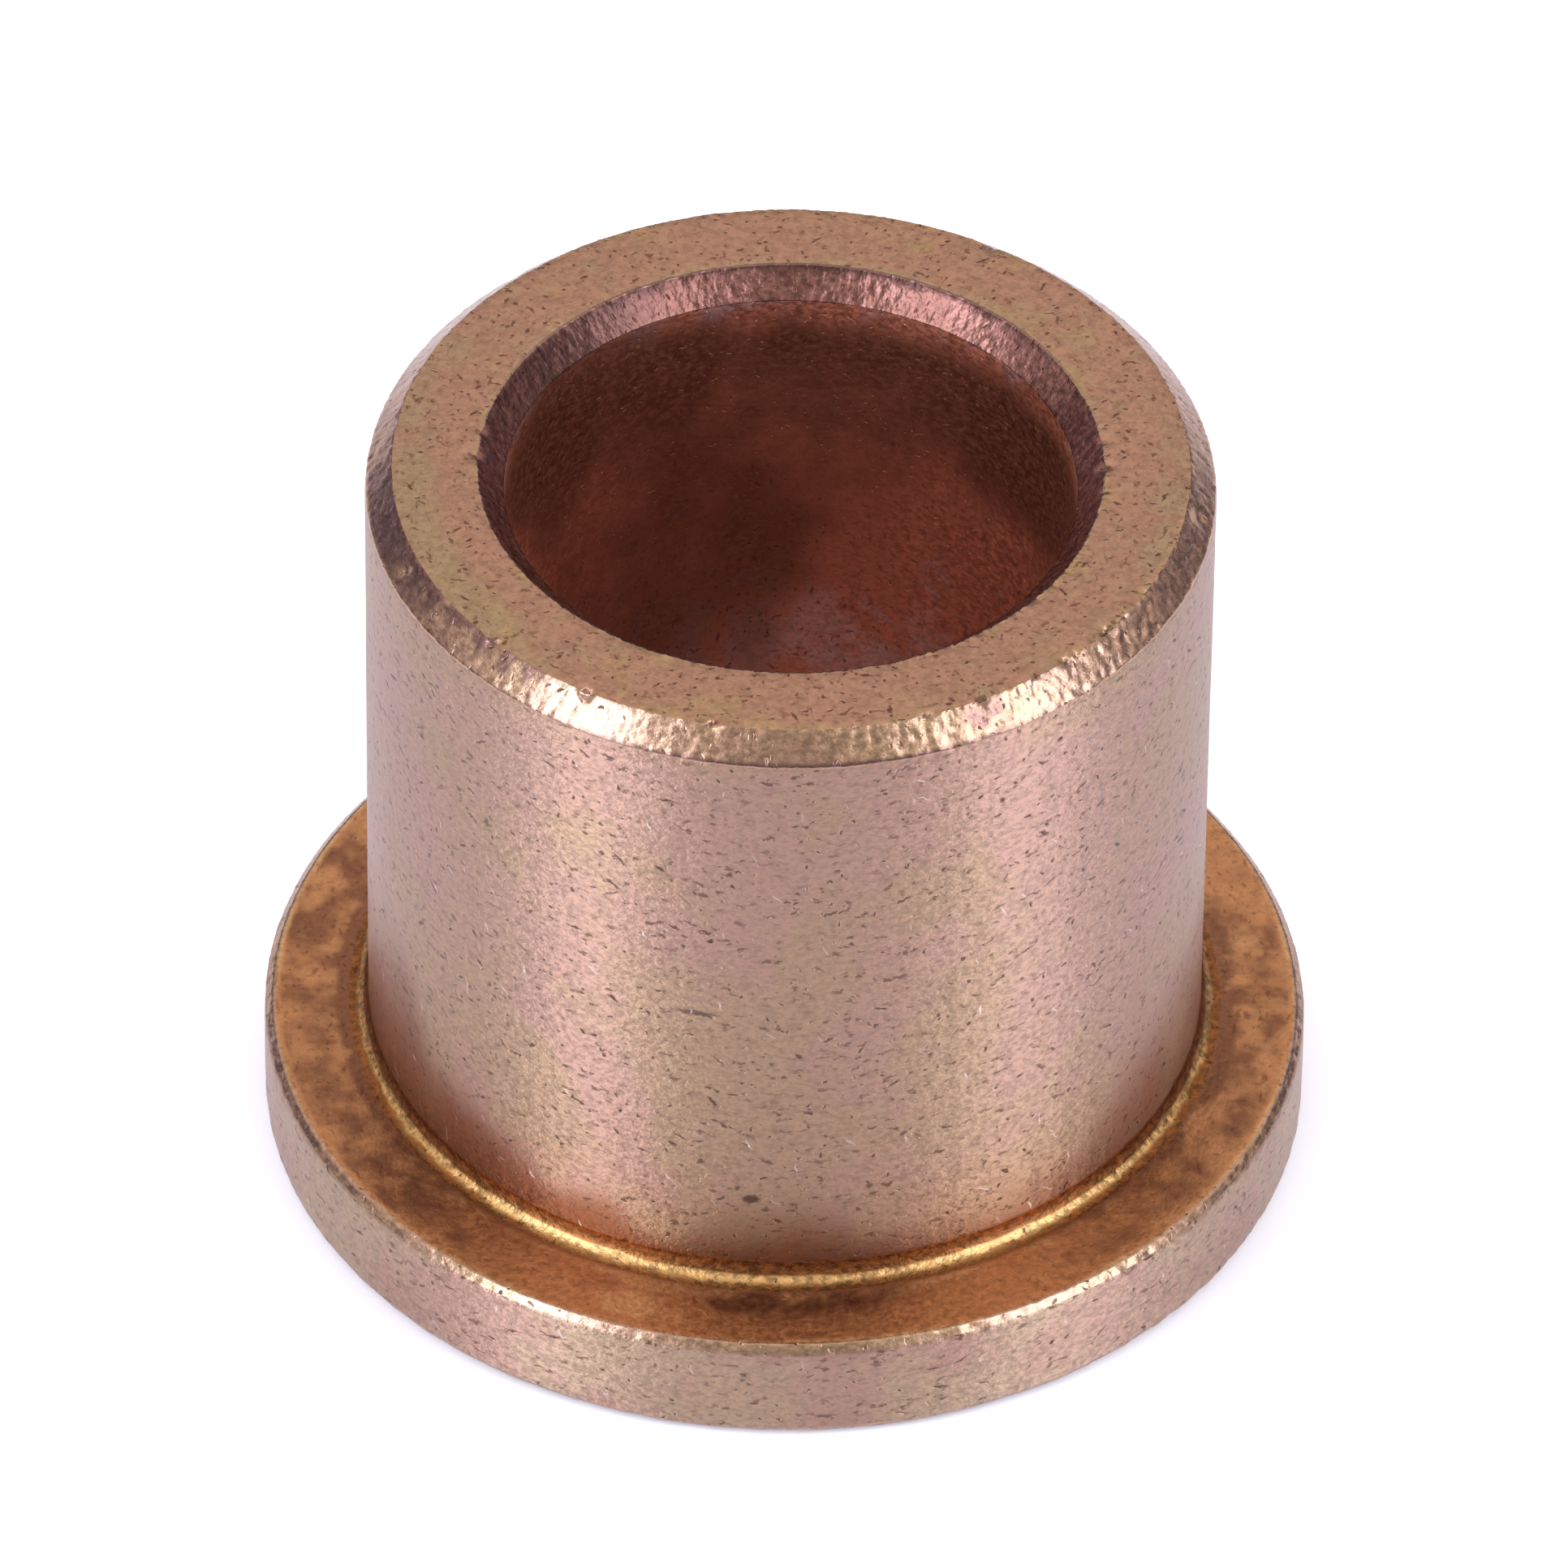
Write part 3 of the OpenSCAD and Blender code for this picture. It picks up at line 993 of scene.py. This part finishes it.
class SCENE_OT_bushing_stage(bpy.types.Operator):
    """Set the floor, the light and the camera round the bushing"""

    bl_idname = "scene.bushing_stage"
    bl_label = "Set Bushing Stage"
    bl_options = {"REGISTER", "UNDO"}

    def execute(self, context):
        scene = context.scene
        stage = scene.bushing_stage
        self.floor(scene, stage)
        self.world(scene)
        for name, azimuth, width, lean, power in SOFT_BOXES:
            soft_box(name, azimuth, width, lean, getattr(stage, power))
        self.camera(scene, stage)
        scene.view_settings.view_transform = "Standard"
        return {"FINISHED"}

    def floor(self, scene, stage):
        """A wide round floor at the height that the flange stands on."""
        angles = np.arange(FLOOR_STEPS) / FLOOR_STEPS * 2 * np.pi
        ring = np.stack([np.cos(angles), np.sin(angles), np.zeros(FLOOR_STEPS)], 1)
        mesh = bpy.data.meshes.new("floor")
        mesh.from_pydata(ring * FLOOR_RADIUS, [], [list(range(FLOOR_STEPS))])
        material = bpy.data.materials.new("floor")
        material.use_nodes = True
        graph = Graph(material)
        shader = graph.nodes["Principled BSDF"]
        shader.inputs["Base Color"].default_value = (*stage.floor, 1)
        shader.inputs["Roughness"].default_value = 1
        shader.inputs["Specular IOR Level"].default_value = 0
        path = graph.put("LightPath").outputs
        mirrored = path["Is Glossy Ray"]
        seen = graph.math("MAXIMUM", path["Is Camera Ray"], mirrored)
        away = graph.length(graph.put("TexCoord").outputs["Object"])
        inner, outer = (FLANGE_RADIUS * share for share in SHADED_RING)
        open_floor = graph.ramp(away, inner, outer, SHADED_GLOW, 1.0)
        glow = graph.blend(mirrored, GLOW_SEEN, GLOW_MIRRORED)
        graph.fill(shader.inputs["Emission Color"], glow)
        strength = graph.math("MULTIPLY", graph.math("MULTIPLY", seen, open_floor), GLOW)
        graph.fill(shader.inputs["Emission Strength"], strength)
        mesh.materials.append(material)
        floor = bpy.data.objects.new("floor", mesh)
        scene.collection.objects.link(floor)

    def world(self, scene):
        """A dome that is pale overhead and dim at the horizon, with a dim patch on the camera's
        side."""
        world = bpy.data.worlds.new("dome")
        world.use_nodes = True
        scene.world = world
        graph = Graph(world)
        way = graph.put("TexCoord").outputs["Generated"]
        up = graph.put("SeparateXYZ", None, Vector=way).outputs["Z"]
        dome = graph.blend(graph.ramp(up, *DOME_STEP), HORIZON, OVERHEAD)
        near = graph.put("VectorMath", {"operation": "DOT_PRODUCT"}, n0=way, n1=DIM_WAY)
        strength = graph.ramp(near.outputs["Value"], *DIM_STEP, 1.0, DIM_SHARE)
        graph.fill(graph.nodes["Background"].inputs["Color"], dome)
        graph.fill(graph.nodes["Background"].inputs["Strength"], strength)

    def camera(self, scene, stage):
        """A long lens that looks down at the axis, a little above the middle."""
        data = bpy.data.cameras.new("camera")
        data.sensor_width = SENSOR_WIDTH
        focal = stage.pixels_per_radius * stage.distance / BARREL_RADIUS
        data.lens = focal / FRAME_PIXELS * SENSOR_WIDTH
        data.clip_start, data.clip_end = CAMERA_RANGE
        camera = bpy.data.objects.new("camera", data)
        back = Vector((0, -math.cos(stage.elevation), math.sin(stage.elevation)))
        turn = (-back).to_track_quat("-Z", "Y")
        sight = turn @ Vector((0, 0, -1))
        turn = Quaternion(sight, stage.roll) @ turn
        right, up = turn @ Vector((1, 0, 0)), turn @ Vector((0, 1, 0))
        pixel = BARREL_RADIUS / stage.pixels_per_radius
        middle = FRAME_PIXELS / 2
        aim = Vector((0, 0, AIM_HEIGHT * BARREL_RADIUS))
        aim += right * (middle - stage.aim_x) * pixel + up * (stage.aim_y - middle) * pixel
        camera.location = aim + back * stage.distance
        camera.rotation_mode = "QUATERNION"
        camera.rotation_quaternion = turn
        scene.collection.objects.link(camera)
        scene.camera = camera


class VIEW3D_PT_bushing(bpy.types.Panel):
    """Lists what makes the bushing and its stage"""

    bl_label = "Flanged Bushing"
    bl_idname = "VIEW3D_PT_bushing"
    bl_space_type = "VIEW_3D"
    bl_region_type = "UI"
    bl_category = "Bushing"

    def draw(self, context):
        layout = self.layout
        for group in ("bushing_shape", "bushing_finish", "bushing_stage"):
            box = layout.box()
            settings = getattr(context.scene, group)
            for name in settings.__annotations__:
                box.prop(settings, name)
        layout.operator(OBJECT_OT_bushing_turn.bl_idname)
        layout.operator(SCENE_OT_bushing_stage.bl_idname)


CLASSES = (
    BushingShape, BushingFinish, BushingStage, OBJECT_OT_bushing_turn, SCENE_OT_bushing_stage,
    VIEW3D_PT_bushing,
)


def register():
    for item in CLASSES:
        bpy.utils.register_class(item)
    bpy.types.Scene.bushing_shape = bpy.props.PointerProperty(type=BushingShape)
    bpy.types.Scene.bushing_finish = bpy.props.PointerProperty(type=BushingFinish)
    bpy.types.Scene.bushing_stage = bpy.props.PointerProperty(type=BushingStage)


def unregister():
    del bpy.types.Scene.bushing_stage
    del bpy.types.Scene.bushing_finish
    del bpy.types.Scene.bushing_shape
    for item in reversed(CLASSES):
        bpy.utils.unregister_class(item)


def main():
    """Registers the classes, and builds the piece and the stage."""
    register()
    bpy.ops.object.bushing_turn()
    bpy.ops.scene.bushing_stage()


if __name__ == "__main__":
    main()
